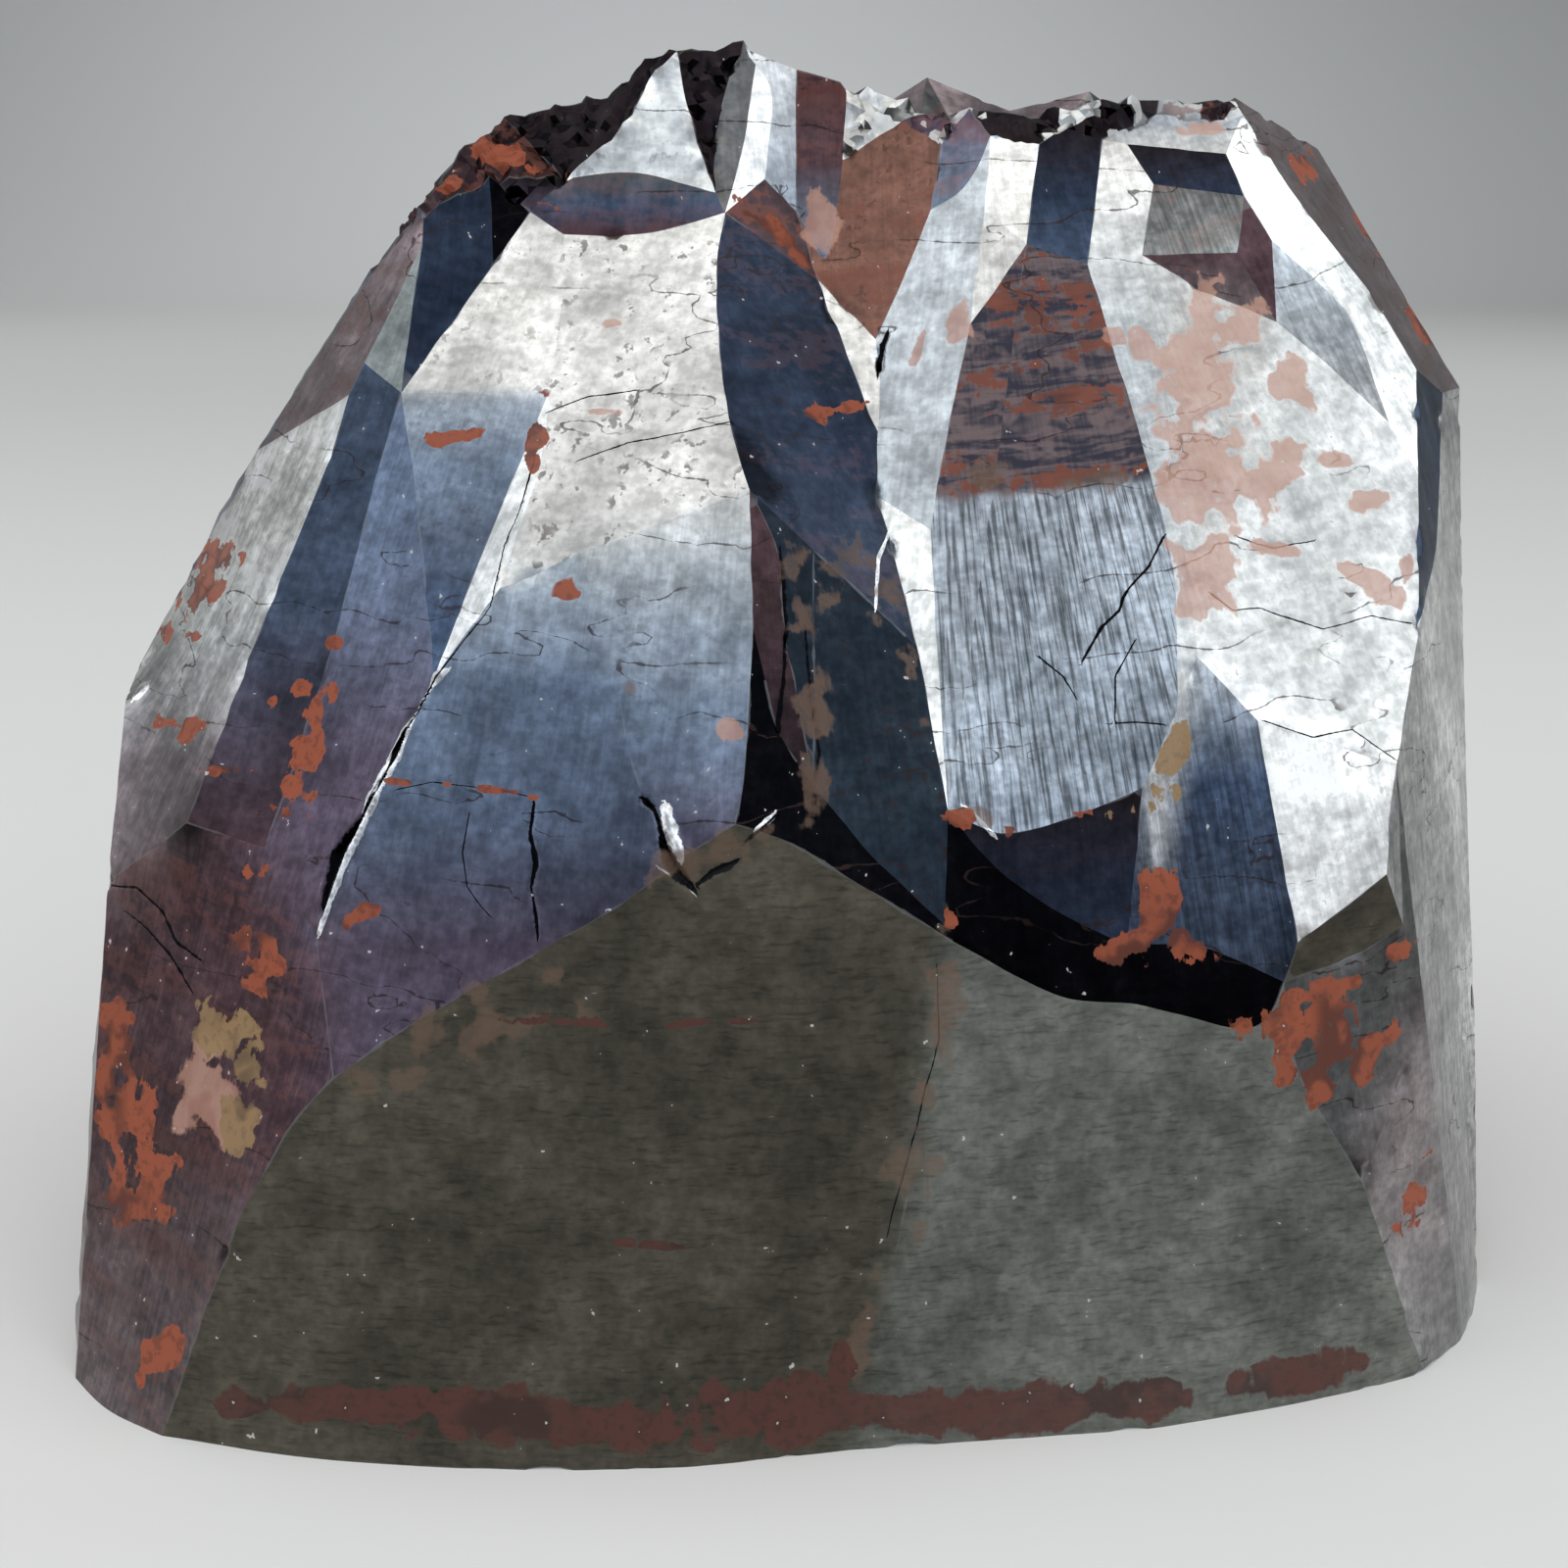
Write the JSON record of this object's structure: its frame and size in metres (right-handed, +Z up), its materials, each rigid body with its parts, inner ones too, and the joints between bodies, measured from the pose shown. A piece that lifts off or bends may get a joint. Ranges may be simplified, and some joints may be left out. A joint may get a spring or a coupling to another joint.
{
  "type": "needle ore hematite",
  "caption": "Broken fragment of radiating fibrous hematite: wide rounded base, long flat splintered facets, jagged top.",
  "frame": {"origin": "centre of the object's box in plan, on the flat base it stands on", "axes": "+Z up along the fibres towards the jagged top, +X along the longer side of the base, -Y the front with the dark olive face"},
  "size_m": [0.062, 0.0416, 0.0511],
  "materials": {
    "hematite": "lustrous steel-black mineral with mirror-like broken facets and brick-red and ochre iron stains"
  },
  "bodies": {
    "root": {"needle_ore": "hematite"}
  },
  "joints": []
}
